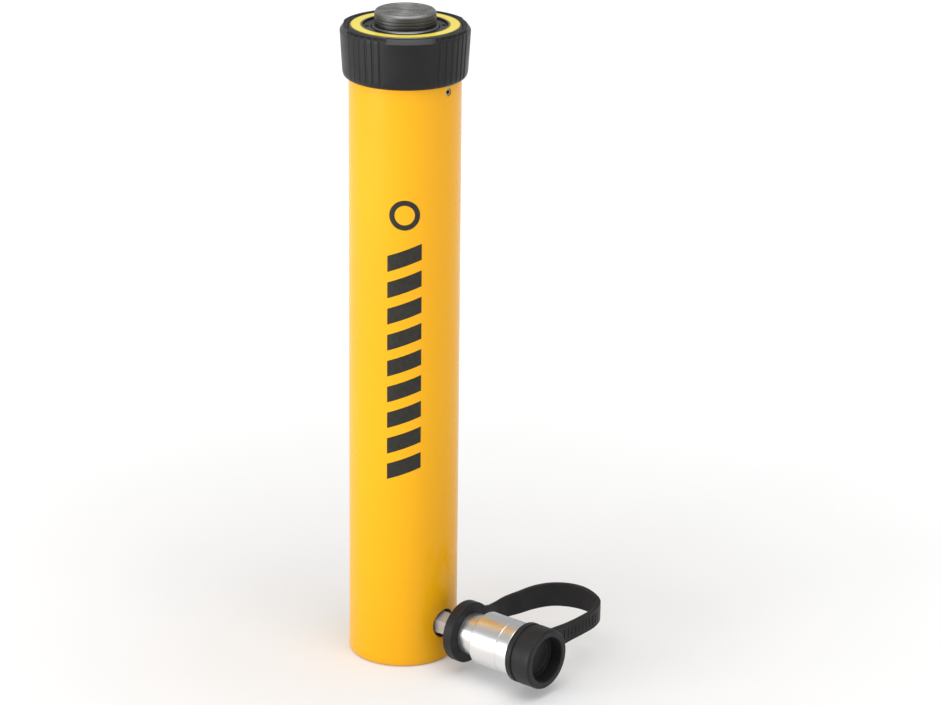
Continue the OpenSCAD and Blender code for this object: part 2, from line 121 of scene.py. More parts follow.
class Look:
    """One procedural material: a Principled shader and the nodes that feed it."""

    def __init__(self, name, colour, roughness, metallic=0.0, **sockets):
        self.mat = bpy.data.materials.new(name)
        self.mat.use_nodes = True
        self.tree = self.mat.node_tree
        self.shader = self.tree.nodes["Principled BSDF"]
        self.colour = (*colour, 1)
        self.normal = None
        self.set("Base Color", self.colour)
        self.set("Roughness", roughness)
        self.set("Metallic", metallic)
        for socket, value in sockets.items():
            self.set(socket.replace("_", " ").title().replace("Ior", "IOR"), value)
        self.coords = self.add("ShaderNodeTexCoord").outputs["Object"]

    def set(self, socket, value):
        self.shader.inputs[socket].default_value = value

    def add(self, kind, inputs=None, **props):
        node = self.tree.nodes.new(kind)
        for key, value in props.items():
            setattr(node, key, value)
        for key, value in (inputs or {}).items():
            if isinstance(value, bpy.types.NodeSocket):
                self.tree.links.new(value, node.inputs[key])
            else:
                node.inputs[key].default_value = value
        return node

    def link(self, output, socket):
        self.tree.links.new(output, self.shader.inputs[socket])

    def math(self, operation, a, b=0.0):
        return self.add("ShaderNodeMath", {0: a, 1: b}, operation=operation).outputs[0]

    def both(self, a, b):
        return self.math("MULTIPLY", a, b)

    def either(self, a, b):
        return self.math("MAXIMUM", a, b)

    def axes(self):
        """The point's x, y and z, in metres."""
        return self.add("ShaderNodeSeparateXYZ", {0: self.coords}).outputs

    def length(self, a, b):
        """How far the point is from zero, measured along two axes."""
        flat = self.add("ShaderNodeCombineXYZ", {0: a, 1: b}).outputs[0]
        return self.add("ShaderNodeVectorMath", {0: flat}, operation="LENGTH").outputs["Value"]

    def above(self, value, limit):
        """1 where value is more than limit, in millimetres."""
        return self.math("GREATER_THAN", value, limit * MM)

    def below(self, value, limit):
        """1 where value is less than limit, in millimetres."""
        return self.math("LESS_THAN", value, limit * MM)

    def spread(self, value, low, high, to_low=0.0, to_high=1.0):
        """Maps value from low..high to to_low..to_high, clamped."""
        inputs = {"Value": value, "From Min": low, "From Max": high,
                  "To Min": to_low, "To Max": to_high}
        return self.add("ShaderNodeMapRange", inputs).outputs[0]

    def ramp(self, value, low, high, to_low=0.0, to_high=1.0):
        """As spread, with low and high in millimetres."""
        return self.spread(value, low * MM, high * MM, to_low, to_high)

    def place(self, stretch=(1, 1, 1), centre=(0, 0, 0)):
        """Object coordinates, moved so that centre (mm) is at zero, then stretched."""
        moved = self.add(
            "ShaderNodeVectorMath",
            {0: self.coords, 1: tuple(c * MM for c in centre)},
            operation="SUBTRACT",
        ).outputs[0]
        return self.add(
            "ShaderNodeVectorMath", {0: moved, 1: stretch}, operation="MULTIPLY"
        ).outputs[0]

    def noise(self, scale, detail=4.0, rough=0.5, stretch=(1, 1, 1)):
        """Noise with features about 1 / scale metres across, from 0 to 1."""
        inputs = {"Vector": self.place(stretch), "Scale": scale, "Detail": detail,
                  "Roughness": rough}
        return self.add("ShaderNodeTexNoise", inputs).outputs[0]

    def cells(self, scale):
        inputs = {"Vector": self.coords, "Scale": scale}
        return self.add("ShaderNodeTexVoronoi", inputs).outputs["Distance"]

    def turned(self, axis, scale, wander, centre=(0, 0, 0), rings=False):
        """Lathe marks: fine bands along an axis, or rings about it on an end face."""
        inputs = {
            "Vector": self.place(centre=centre),
            "Scale": scale,
            "Distortion": wander,
            "Detail": 3.0,
            "Detail Scale": 2.0,
        }
        props = {"wave_type": "BANDS", "bands_direction": axis}
        if rings:
            props = {"wave_type": "RINGS", "rings_direction": axis}
        return self.add("ShaderNodeTexWave", inputs, **props).outputs[1]

    def mix(self, factor, a, b):
        """Colour a where factor is 0, b where it is 1."""
        node = self.add("ShaderNodeMix", data_type="RGBA")
        for socket, value in ((node.inputs[0], factor), (node.inputs[6], a), (node.inputs[7], b)):
            if isinstance(value, bpy.types.NodeSocket):
                self.tree.links.new(value, socket)
            else:
                socket.default_value = value if isinstance(value, float) else (*value[:3], 1)
        return node.outputs[2]

    def edges(self, low, high):
        """1 on sharp outer edges, from the mesh's own curvature."""
        return self.spread(self.add("ShaderNodeNewGeometry").outputs["Pointiness"], low, high)

    def bump(self, height, depth, strength=1.0):
        """Adds relief, depth in millimetres, on top of any before it."""
        inputs = {"Height": height, "Distance": depth * MM, "Strength": strength}
        if self.normal:
            inputs["Normal"] = self.normal
        self.normal = self.add("ShaderNodeBump", inputs).outputs[0]
        self.link(self.normal, "Normal")

    def base_colour(self):
        """What feeds the base colour now."""
        return self.shader.inputs["Base Color"].links[0].from_socket


PAINT = (0.87, 0.425, 0.005)
PAINT_DEEP = (0.85, 0.4, 0.005)
# Painted highlight: the top ring's paler yellow, standing in for the top light on it.
PAINT_TOP_HIGHLIGHT = (0.97, 0.84, 0.12)
# Painted shade: the dark at the top ring's inner and outer edges.
PAINT_RIM_SHADE = (0.05, 0.035, 0.004)
# Painted shade: dark brown in the port's recess round the neck.
PORT_SHADE = (0.07, 0.035, 0.008)
# Darker tone towards the bottom of the barrel, in patches.
BASE_DARKENING = (0.45, 0.2, 0.03)
BARE_STEEL = ((0.08, 0.076, 0.07), (0.17, 0.165, 0.16))
# The paint stops this far above the protector's lower end. From there up the steel is bare to
# one depth at the collar's top edge, and to another below it, where the thread's grooves are.
PAINT_STOP = 1.0
EDGE_BARE = 0.75
GROOVE_BARE = 1.4
PORT_SHADE_R = 9.7
BASE_DARKENING_H = 5


def paint_look(name):
    """Glossy yellow enamel over steel. The collar thread and bore stay bare. The port recess is
    coloured dark brown as painted shade, the top ring is made paler as a painted highlight between
    edges of painted shade, and the paint turns darker towards the bottom in patches."""
    look = Look(name, PAINT, 0.34, specular_ior_level=0.1, coat_weight=0.2, coat_roughness=0.05)
    x, y, z = look.axes()
    radius = look.length(x, y)
    on_collar = look.above(z, PROTECTOR_LO.z + PAINT_STOP)
    at_edge = look.both(on_collar, look.above(radius, BODY_R - EDGE_BARE))
    in_groove = look.both(look.both(on_collar, look.below(z, BODY_TOP - 0.4)),
                          look.above(radius, BODY_R - GROOVE_BARE))
    in_bore = look.both(look.below(radius, GLAND_R + 0.5), look.above(z, 0.3))
    port_radius = look.length(y, look.math("SUBTRACT", z, PORT_Z * MM))
    # Painted shade: the port's recess, round the neck, is coloured dark brown.
    port_shade = look.both(look.below(port_radius, PORT_SHADE_R),
                        look.both(look.above(x, 0.0), look.below(radius, BODY_R - 0.12)))
    bare = look.either(look.either(at_edge, in_groove), in_bore)

    tint = look.mix(look.spread(look.noise(9.0, 3.0), 0.35, 0.7), look.colour, PAINT_DEEP)
    # Painted highlight: the top face is made paler, as if lit from above.
    on_top = look.both(look.ramp(z, BODY_TOP - 0.7, BODY_TOP - 0.3), 0.9)
    tint = look.mix(on_top, tint, PAINT_TOP_HIGHLIGHT)
    # Painted shade: dark bands at the top ring's inner and outer edges.
    rim_shade = look.either(look.ramp(radius, GLAND_R + 1.1, GLAND_R + 1.8, 1.0, 0.0),
                      look.ramp(radius, BODY_R - 1.8, BODY_R - 1.3))
    tint = look.mix(look.both(rim_shade, on_top), tint, PAINT_RIM_SHADE)
    tint = look.mix(port_shade, tint, PORT_SHADE)
    # Darker towards the bottom, in patches, over the lowest few millimetres.
    base_darkening = look.both(look.ramp(z, 0.0, BASE_DARKENING_H, 0.5, 0.0), look.noise(160.0, 5.0))
    tint = look.mix(base_darkening, tint, BASE_DARKENING)
    steel = look.mix(look.noise(240.0, 6.0, stretch=(1, 1, 6)), *BARE_STEEL)
    look.link(look.mix(bare, tint, steel), "Base Color")
    look.link(bare, "Metallic")
    haze = look.spread(look.noise(60.0, 6.0, 0.6), 0.3, 0.75, 0.24, 0.34)
    look.link(look.math("ADD", haze, look.both(bare, 0.12)), "Roughness")
    look.bump(look.noise(420.0, 2.0), 0.015, 0.2)
    look.bump(look.noise(38.0, 1.0), 0.08, 0.2)
    return look


def plastic_look(name):
    """Matte black moulded plastic with a fine spark-eroded grain, paler on rubbed edges, with a
    painted highlight on the chamfer of each smooth panel."""
    look = Look(name, (0.006, 0.006, 0.0065), 0.42, specular_ior_level=0.26)
    worn = look.both(look.edges(0.51, 0.56), look.noise(300.0, 5.0))
    dusty = look.spread(look.noise(35.0, 5.0, 0.6), 0.4, 0.75, 0.0, 0.35)
    tint = look.mix(dusty, look.colour, (0.02, 0.02, 0.021))
    tint = look.mix(worn, tint, (0.06, 0.06, 0.062))
    x, y, z = look.axes()
    top = PROTECTOR_HI.z
    # Painted highlight: the chamfer band of each smooth panel is made paler, where the top light
    # catches it.
    chamfer = look.both(look.ramp(z, top - 3.3, top - 3.0),
                        look.ramp(z, top - 0.3, top - 0.1, 1.0, 0.0))
    squares = [look.both(axis, axis) for axis in (x, y)]
    turn = look.math("DIVIDE", look.math("SUBTRACT", *squares), look.math("ADD", *squares))
    panel = look.spread(look.math("ABSOLUTE", turn), 0.64, 0.74, 1.0, 0.0)
    look.link(look.mix(look.both(chamfer, panel), tint, (0.05, 0.05, 0.052)), "Base Color")
    look.link(look.spread(look.noise(90.0, 5.0), 0.3, 0.7, 0.36, 0.48), "Roughness")
    look.bump(look.noise(2600.0, 3.0, 0.6), 0.03, 0.5)
    look.bump(look.noise(70.0, 2.0), 0.15, 0.15)
    return look


def rubber_look(name, colour=(0.012, 0.012, 0.013), rough=0.5):
    """Soft moulding: faint sheen, dust in patches and a pebbled skin."""
    look = Look(name, colour, rough, specular_ior_level=0.24, sheen_weight=0.03,
                sheen_roughness=0.5)
    dusty = look.spread(look.noise(55.0, 6.0, 0.65), 0.42, 0.75, 0.0, 0.5)
    pale = tuple(c * 1.9 + 0.003 for c in colour)
    look.link(look.mix(dusty, look.colour, pale), "Base Color")
    grip = look.spread(look.noise(120.0, 5.0), 0.3, 0.7, rough - 0.08, rough + 0.1)
    look.link(grip, "Roughness")
    look.bump(look.cells(1500.0), 0.02, 0.35)
    look.bump(look.noise(160.0, 3.0), 0.06, 0.25)
    return look


def metal_look(name, colour, rough, axis="Z", centre=(0, 0, 0), marks=1400.0, ends=False,
               stain=0.25, depth=0.012, metallic=1.0, vary=0.22):
    """Turned metal: lathe marks along its axis, and rings on its end faces where ends is true."""
    look = Look(name, colour, rough, metallic, anisotropic=0.4 if axis == "Z" else 0.0)
    patches = look.spread(look.noise(70.0, 6.0, 0.6), 0.35, 0.75, 0.0, stain)
    look.link(look.mix(patches, look.colour, tuple(c * 0.55 for c in colour)), "Base Color")
    gloss = look.spread(look.noise(60.0, 5.0), 0.25, 0.75, rough * (1 - vary), rough * (1 + vary))
    look.link(gloss, "Roughness")
    look.bump(look.turned(axis, marks, 1.2, centre), depth, 0.6)
    if ends:
        look.bump(look.turned(axis, marks, 0.8, centre, rings=True), depth, 0.6)
    return look


def chrome_look(name):
    """Hard chrome, ground fine; the rod's top edge and face are left as darker turned steel."""
    look = metal_look(name, (0.5, 0.51, 0.53), 0.16, marks=1800.0, depth=0.004, stain=0.12,
                      ends=True)
    on_top = look.ramp(look.axes()[2], BODY_TOP - 1.2, BODY_TOP - 0.5)
    look.link(look.mix(on_top, look.base_colour(), (0.13, 0.13, 0.13)), "Base Color")
    look.link(look.spread(on_top, 0.0, 1.0, 0.16, 0.42), "Roughness")
    return look


def saddle_look(name):
    """Hardened steel, dark on the side; its grooved top face and top bevel are made lighter, a
    painted highlight where the top light falls, and patchy with rubbing.
    """
    look = metal_look(name, (0.1, 0.1, 0.1), 0.42, marks=700.0, ends=True, stain=0.5, depth=0.03)
    # Painted highlight: the top face and the upper part of its bevel are made lighter, as if lit
    # from above; the noise makes it patchy, like rubbing.
    on_top = look.ramp(look.axes()[2], SADDLE_HI.z - 1.7, SADDLE_HI.z - 1.1)
    rubbed = look.spread(look.noise(150.0, 5.0), 0.35, 0.7)
    top_highlight = look.mix(rubbed, (0.36, 0.36, 0.352), (0.21, 0.21, 0.207))
    look.link(look.mix(on_top, look.base_colour(), top_highlight), "Base Color")
    return look


def ink_look(name):
    """Printed black ink: slightly uneven, with a satin film over it."""
    look = Look(name, (0.014, 0.013, 0.009), 0.4, specular_ior_level=0.3)
    uneven = look.spread(look.noise(400.0, 5.0), 0.4, 0.7)
    look.link(look.mix(uneven, look.colour, (0.024, 0.022, 0.015)), "Base Color")
    look.link(look.spread(look.noise(150.0, 4.0), 0.3, 0.7, 0.34, 0.48), "Roughness")
    look.bump(look.noise(900.0, 3.0), 0.01, 0.4)
    return look


def floor_look(name):
    """A matt white floor that also glows a little, more so away from the object."""
    look = Look(name, (0.74, 0.74, 0.74), 0.9, specular_ior_level=0.1)
    patches = look.spread(look.noise(3.0), 0.35, 0.7)
    look.link(look.mix(patches, look.colour, (0.72, 0.72, 0.72)), "Base Color")
    look.set("Emission Color", (1, 1, 1, 1))
    away = look.add("ShaderNodeVectorMath", {0: look.coords}, operation="LENGTH").outputs["Value"]
    look.link(look.spread(away, 0.12, 0.9, 0.14, 0.52), "Emission Strength")
    return look


LOOKS = {
    "body_paint": paint_look("body_paint"),
    "gland_steel": metal_look("gland_steel", (0.085, 0.08, 0.09), 0.34, marks=900.0, ends=True),
    "bronze": metal_look("bronze", (0.55, 0.33, 0.12), 0.34),
    "seal_rubber": rubber_look("seal_rubber", (0.014, 0.014, 0.014), 0.42),
    "zinc_screw": metal_look("zinc_screw", (0.36, 0.33, 0.27), 0.42, axis="X", ends=True,
                             centre=(0, 0, SCREW_Z)),
    "dark_screw": metal_look("dark_screw", (0.06, 0.06, 0.065), 0.45, ends=True),
    "copper": metal_look("copper", (0.72, 0.33, 0.17), 0.3, ends=True),
    "inner_steel": metal_look("inner_steel", (0.42, 0.42, 0.43), 0.32, ends=True),
    "spring_steel": metal_look("spring_steel", (0.2, 0.2, 0.21), 0.38, marks=500.0),
    "rod_chrome": chrome_look("rod_chrome"),
    "ring_plastic": rubber_look("ring_plastic", (0.22, 0.13, 0.045), 0.45),
    "lip_seal": rubber_look("lip_seal", (0.02, 0.09, 0.25), 0.38),
    "backup_plastic": rubber_look("backup_plastic", (0.62, 0.58, 0.47), 0.45),
    "saddle_steel": saddle_look("saddle_steel"),
    "protector_plastic": plastic_look("protector_plastic"),
    "neck_steel": metal_look("neck_steel", (0.5, 0.49, 0.49), 0.4, axis="X", centre=COUPLER_AXIS,
                             marks=300.0, depth=0.006, metallic=0.6),
    "coupler_plate": metal_look("coupler_plate", (0.82, 0.83, 0.84), 0.3, axis="X",
                                centre=COUPLER_AXIS, marks=150.0, depth=0.004, stain=0.05,
                                vary=0.05),
    "cap_rubber": rubber_look("cap_rubber"),
}
INK = ink_look("decal_ink")

# ---------------------------------------------------------------- mesh tools


def rounded(profile, closed, steps=5):
    """A profile of (radius, height, fillet) as points, each corner eased by its fillet."""
    n = len(profile)
    points = []
    for i, (r, h, fillet) in enumerate(profile):
        here = Vector((r, h))
        if fillet <= 0 or (not closed and i in (0, n - 1)):
            points.append(here)
            continue
        before = Vector(profile[i - 1][:2]) - here
        after = Vector(profile[(i + 1) % n][:2]) - here
        reach = min(fillet, before.length * 0.49, after.length * 0.49)
        a = here + before.normalized() * reach
        b = here + after.normalized() * reach
        for k in range(steps + 1):
            t = k / steps
            points.append(a * (1 - t) ** 2 + here * 2 * t * (1 - t) + b * t**2)
    return points


def finish_piece(name, verts, faces, body, slot, stands_for=(), sharp=38.0, look=None):
    """A closed mesh in millimetres becomes a piece. It rides on a body, unless that is None."""
    mesh = bpy.data.meshes.new(name)
    mesh.from_pydata([tuple(c * MM for c in v) for v in verts], [], faces)
    bm = bmesh.new()
    bm.from_mesh(mesh)
    bmesh.ops.remove_doubles(bm, verts=bm.verts, dist=1e-7)
    bmesh.ops.recalc_face_normals(bm, faces=bm.faces)
    bm.to_mesh(mesh)
    bm.free()
    mesh.shade_smooth()
    mesh.set_sharp_from_angle(angle=math.radians(sharp))
    piece = bpy.data.objects.new(name, mesh)
    bpy.context.scene.collection.objects.link(piece)
    mesh.materials.append((look or LOOKS[slot]).mat)
    weighted = piece.modifiers.new("weighted_normals", "WEIGHTED_NORMAL")
    weighted.keep_sharp = True
    if body:
        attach(piece, body)
    if stands_for:
        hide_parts(*stands_for)
    return piece


def strip(rows, wrap_rows, wrap_cols, caps=False):
    """Quads between rows of equal length, as vertex numbers. Caps close the first and last row."""
    n, m = len(rows), len(rows[0])
    faces = []
    for i in range(n if wrap_rows else n - 1):
        for j in range(m if wrap_cols else m - 1):
            a, b = i, (i + 1) % n
            c, d = j, (j + 1) % m
            faces.append((a * m + c, a * m + d, b * m + d, b * m + c))
    if caps:
        faces.append(tuple(range(m)))
        faces.append(tuple(reversed(range((n - 1) * m, n * m))))
    return faces


def lathe(name, profile, body, slot, axis="Z", centre=(0, 0, 0), stands_for=(), segments=160,
          shape=None, steps=5):
    """Turns a profile about an axis. A profile that starts and ends on the axis is closed there.
    shape(radius, height, angle) gives the radius where the outline isn't round."""
    open_ended = profile[0][0] == 0 and profile[-1][0] == 0
    points = rounded(profile, not open_ended, steps)
    verts = []
    for p in points:
        for s in range(segments):
            a = 2 * math.pi * s / segments
            r = shape(p[0], p[1], a) if shape else p[0]
            across, up = r * math.cos(a), r * math.sin(a)
            v = (across, up, p[1]) if axis == "Z" else (p[1], across, up)
            verts.append(tuple(c + o for c, o in zip(v, centre)))
    rows = [verts[i * segments : (i + 1) * segments] for i in range(len(points))]
    faces = strip(rows, not open_ended, True)
    return finish_piece(name, verts, faces, body, slot, stands_for)


def spline(a, b, c, d, t):
    """The point at t, from 0 to 1, on a smooth curve from b to c."""
    return (b * 2 + (c - a) * t + (a * 2 - b * 5 + c * 4 - d) * t * t
            + (b * 3 - a - c * 3 + d) * t**3) * 0.5


def smooth_path(points, steps):
    """A smooth curve through points, with steps stretches between each two."""
    last = len(points) - 1
    out = []
    for i in range(last):
        near = [points[max(0, min(last, i + k))] for k in (-1, 0, 1, 2)]
        out += [spline(*near, k / steps) for k in range(steps)]
    return out + [points[last]]


COIL_STEPS = 26


def coil(name, axis, lo, hi, outer_r, wire_r, turns, slot, centre=(0, 0)):
    """A round-wire spring from lo to hi along an axis."""
    mean_r = outer_r - wire_r
    sides = 10
    count = turns * COIL_STEPS
    rise = (hi - lo - 2 * wire_r) / count
    verts = []
    for i in range(count + 1):
        a = 2 * math.pi * i / COIL_STEPS
        along = lo + wire_r + rise * i
        out = Vector((math.cos(a), math.sin(a), 0))
        for s in range(sides):
            b = 2 * math.pi * s / sides
            p = out * (mean_r + wire_r * math.cos(b)) + Vector((0, 0, along + wire_r * math.sin(b)))
            if axis == "X":
                p = Vector((p.z, p.x + centre[0], p.y + centre[1]))
            verts.append(tuple(p))
    rows = [verts[i * sides : (i + 1) * sides] for i in range(count + 1)]
    faces = strip(rows, False, True, caps=True)
    piece = finish_piece(name, verts, faces, None, slot, sharp=70.0)
    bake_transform(piece)
    return piece


# ---------------------------------------------------------------- thread protector

FLUTE_R = 1.35
FLUTE_SINK = 0.45
FLUTE_CUT = 1.2
FLUTE_STEP = 7.2
FLUTES = 6
LAND_RISE = 1.1
PROTECTOR_COLUMNS = 1200
PROTECTOR_GAP = 0.37
PROTECTOR_WALL = 4.6
PROTECTOR_TAPER = 0.058
CHAMFER_H = 3.1
THREAD_PITCH = 1.5875
THREAD_TURNS = 17
THREAD_DEPTH = 0.75


def flute_centres():
    """The angle of each flute's middle: four groups, centred on the axes."""
    half = (FLUTES - 1) / 2
    return [math.radians(q * 90 + (k - half) * FLUTE_STEP) for q in range(4) for k in range(FLUTES)]


FLUTE_CENTRES = flute_centres()


def clamped(value):
    return max(0.0, min(1.0, value))


def fluted(r, z, angle):
    """The protector's outline: flutes and their raised lands between four smooth panels. The
    bore and its thread, deeper than the wall, stay round."""
    if r < PROTECTOR_HI.x - PROTECTOR_WALL:
        return r
    outer = PROTECTOR_HI.x - (PROTECTOR_HI.z - z) * PROTECTOR_TAPER
    gap = min(abs((angle - c + math.pi) % (2 * math.pi) - math.pi) for c in FLUTE_CENTRES)
    in_flutes = clamped((math.radians(FLUTE_STEP * 0.75) - gap) / math.radians(1))
    lift = clamped((z - PROTECTOR_HI.z + CHAMFER_H) / 1.6)
    r = min(r + LAND_RISE * in_flutes * lift, max(r, outer))
    off = gap * outer
    if off >= FLUTE_R:
        return r
    floor = outer + FLUTE_R - FLUTE_SINK - math.sqrt(FLUTE_R**2 - off**2)
    return min(r, max(floor, r - FLUTE_CUT))


def make_protector():
    """A moulded ring, tapered outside and threaded inside."""
    z0, z1, r1 = PROTECTOR_LO.z, PROTECTOR_HI.z, PROTECTOR_HI.x
    bore = BODY_R + PROTECTOR_GAP
    foot_r, heel_r, low_r = 36.6, 38.1, r1 - 1.55
    outside = [
        (bore + 0.4, z0, 0.2), (foot_r, z0, 0.8), (heel_r, z0 + 1.2, 1.4), (low_r, z0 + 3.4, 2.0),
        (r1, z1 - CHAMFER_H, 0.5), (r1 - 1.25, z1 - 1.35, 0.2), (r1 - 2.3, z1, 0.4),
        (bore + 0.6, z1, 0.3), (bore, z1 - 0.6, 0.2),
    ]
    thread = []
    for i in range(THREAD_TURNS):
        z = z1 - 1.6 - i * THREAD_PITCH
        thread += [(bore, z, 0), (bore + THREAD_DEPTH, z - THREAD_PITCH * 0.35, 0.1),
                   (bore, z - THREAD_PITCH * 0.7, 0)]
    profile = outside + thread + [(bore, z0 + 0.4, 0.2)]
    lathe("protector_shell", profile, "thread_protector", "protector_plastic",
          stands_for=("thread_protector",), segments=PROTECTOR_COLUMNS, shape=fluted, steps=4)


# ---------------------------------------------------------------- saddle

SADDLE_STEM_R = 10.6
SIDE_GROOVES = (2.3, 4.4)
SIDE_GROOVE_DEPTH = 0.14
TOP_GROOVES = 6
TOP_GROOVE_R = 15.4
TOP_GROOVE_STEP = 2.4
TOP_GROOVE_DEPTH = 0.35


def make_saddle():
    """A disc with ring grooves on its top and side, on a stem with a groove for its snap ring."""
    top, r = SADDLE_HI.z, SADDLE_HI.x
    seat = box_mm("plunger")[1].z
    stem = SADDLE_STEM_R
    ring_lo, ring_hi = box_mm("saddle_retaining_ring")
    groove = (ring_lo.z + ring_hi.z) / 2
    profile = [(0, SADDLE_LO.z, 0), (stem, SADDLE_LO.z, 1.2), (stem, groove - 1.6, 0.2),
               (stem - 1.5, groove - 1.6, 0.3), (stem - 1.5, groove + 1.6, 0.3),
               (stem, groove + 1.6, 0.2), (stem, seat, 0.2), (r, seat, 0.5)]
    bottom = r - SIDE_GROOVE_DEPTH
    for z in SIDE_GROOVES:
        profile += [(r, seat + z, 0.15), (bottom, seat + z + 0.25, 0.1),
                    (bottom, seat + z + 0.5, 0.1), (r, seat + z + 0.75, 0.15)]
    profile += [(r, top - 1.4, 0.5), (r - 1.2, top, 0.4)]
    for k in range(TOP_GROOVES):
        ring = TOP_GROOVE_R - TOP_GROOVE_STEP * k
        profile += [(ring, top, 0.12), (ring - 0.4, top - TOP_GROOVE_DEPTH, 0.12),
                    (ring - 0.8, top, 0.12)]
    profile.append((0, top, 0))
    lathe("saddle_disc", profile, "saddle", "saddle_steel", stands_for=("saddle",), segments=192,
          steps=3)


# ---------------------------------------------------------------- coupler

SPOT_X = 33.4
HEX_X = 45
HEX_R = 8.2
NECK_R = 8.6
NECK_BORE = 4
SPIGOT_R = 9
SLEEVE_BORE = 11
NOSE_SEAT_R = 13
NOSE_BORE = 9
SLEEVE_GROOVE_DEPTH = 0.45
NOSE_THREADS = 3
NOSE_THREAD_DEPTH = 0.65


def hexagonal(r, x, angle):
    """The neck's outline: a hexagon, one corner up, from SPOT_X to HEX_X, and round elsewhere."""
    if not SPOT_X <= x < HEX_X - 0.5:
        return r
    off = (angle - math.pi / 2 + math.pi / 6) % (math.pi / 3) - math.pi / 6
    flat = r * math.cos(math.pi / 6) / math.cos(math.pi / 6 - abs(off))
    return min(r, flat)


def make_coupler():
    """The sleeve, the neck that holds it to the body, and the threaded nose under the cap."""
    centre = COUPLER_AXIS
    sleeve_r = SLEEVE_HI.y
    x0, x1 = SLEEVE_LO.x, SLEEVE_HI.x
    nose_x0, nose_x1, nose_r = NOSE_LO.x, NOSE_HI.x, NOSE_HI.y
    spigot_x = NECK_HI.x
    seat_r = NECK_HI.y
    groove = x1 - 9.2
    step_x = x0 + 12
    end_r = seat_r + 0.4
    groove_r = sleeve_r - SLEEVE_GROOVE_DEPTH
    sleeve = [
        (SPIGOT_R, x0, 0.1), (end_r, x0, 0.2), (end_r, step_x, 0.25), (sleeve_r, step_x, 0.9),
        (sleeve_r, groove - 0.2, 0.15), (groove_r, groove, 0.15), (groove_r, groove + 0.6, 0.15),
        (sleeve_r, groove + 0.8, 0.15), (sleeve_r, x1, 0.6), (NOSE_SEAT_R, x1, 0.1),
        (NOSE_SEAT_R, nose_x0, 0.1), (SLEEVE_BORE, nose_x0, 0.1), (SLEEVE_BORE, spigot_x, 0.1),
        (SPIGOT_R, spigot_x, 0.1),
    ]
    lathe("sleeve_shell", sleeve, "barrel", "coupler_plate", "X", centre, ("coupler_sleeve",), 192)
    neck = [
        (NECK_BORE, NECK_LO.x, 0.2), (NECK_R, NECK_LO.x, 0.6), (NECK_R, SPOT_X, 0),
        (HEX_R, SPOT_X, 0), (HEX_R, HEX_X - 0.9, 0), (HEX_R, HEX_X, 0.2),
        (HEX_R, RING_LO.x - 3.6, 1.5), (seat_r, RING_LO.x - 2.2, 1.6), (seat_r, x0, 0.1),
        (SPIGOT_R, x0, 0.1), (SPIGOT_R, spigot_x, 0.3), (NECK_BORE, spigot_x, 0.2),
    ]
    lathe("neck_adapter", neck, "barrel", "neck_steel", "X", centre, ("coupler_neck",), 192,
          hexagonal)
    nose = [(NOSE_BORE, nose_x0, 0.2), (NOSE_SEAT_R, nose_x0, 0.3), (NOSE_SEAT_R, x1, 0.1),
            (nose_r, x1, 0.4)]
    for k in range(NOSE_THREADS):
        crest = x1 + 1 + 2.2 * k
        nose += [(nose_r, crest, 0.1), (nose_r - NOSE_THREAD_DEPTH, crest + 1, 0.3),
                 (nose_r, crest + 2, 0.1)]
    nose += [(nose_r, nose_x1, 0.6), (NOSE_BORE, nose_x1, 0.7)]
    lathe("nose_thread", nose, "barrel", "coupler_plate", "X", centre, ("coupler_nose",), 192)


# ---------------------------------------------------------------- strap and dust cap

STRAP_T = 2.8
STRAP_RIBS = 11
RIB_FIRST = 9
RIB_STEP = 3
RIB_R = 0.7
RING_R_IN = NECK_HI.y
CAP_WEB_X = 106.6
# The strap's middle line, from its ring to the cap, as (x, y, z, width).
STRAP_PATH = [
    (53.9, 20.4, 27.6, 17.4), (53.9, 22.5, 27.7, 16.4), (53.5, 30, 28.3, 14.6),
    (54.5, 38.5, 29.6, 14.6), (58.2, 47.5, 30.8, 15.6), (62.5, 56.5, 32.4, 16.2),
    (68, 64, 33.5, 16.2), (74.5, 68.8, 34.2, 16.2), (82, 72.3, 34.4, 16.2),
    (90.5, 74.2, 34.1, 15.8), (99.3, 73.4, 33.3, 14.6), (106.9, 69, 32.5, 13.4),
    (110.4, 59.6, 31.3, 12.8), (109.8, 48, 30, 12.8), (107.6, 36, 28.4, 13.2),
    (106.6, 21.5, 27.6, 16), (106.6, 20.2, 27.5, 16.4),
]
# Each web's outline, seen along the coupler, as (y, z) from its axis.
RING_WEB = [(6, 18.2), (9, 17.1), (12, 15.1), (15, 13.2), (18, 11.6), (22.5, 10.5),
            (22.5, -5.9), (18, -7.6), (15, -10.2), (12, -13.4), (9, -16.4), (6, -18.2)]
CAP_WEB = [(6, 18.2), (9, 17.2), (12, 15.2), (15, 13.2), (18, 11.5), (21.5, 10.2),
           (21.5, -5.8), (18, -7.8), (15, -10.6), (12, -13.8), (9, -16.6), (6, -18.2)]


def strap_section(width, thick, corner=0.75, arc=3):
    """A flat bar's rounded outline: (across the thickness, across the width)."""
    points = []
    for k, (sx, sy) in enumerate(((1, -1), (1, 1), (-1, 1), (-1, -1))):
        cx, cy = sx * (thick / 2 - corner), sy * (width / 2 - corner)
        start = math.pi / 2 * (k - 1)
        for i in range(arc + 1):
            a = start + math.pi / 2 * i / arc
            points.append((cx + corner * math.cos(a), cy + corner * math.sin(a)))
    return points


def sweep_strap(path, thick):
    """Rings of points along a path of (x, y, z, width), square to its heading in plan."""
    rows = []
    last = len(path) - 1
    for i, (x, y, z, width) in enumerate(path):
        ahead = path[min(last, i + 1)]
        behind = path[max(0, i - 1)]
        heading = Vector((ahead[0] - behind[0], ahead[1] - behind[1], 0)).normalized()
        side = Vector((heading.y, -heading.x, 0))
        here = Vector((x, y, z))
        rows.append([tuple(here + side * a + Vector((0, 0, b)))
                     for a, b in strap_section(width, thick(i, last))])
    return rows


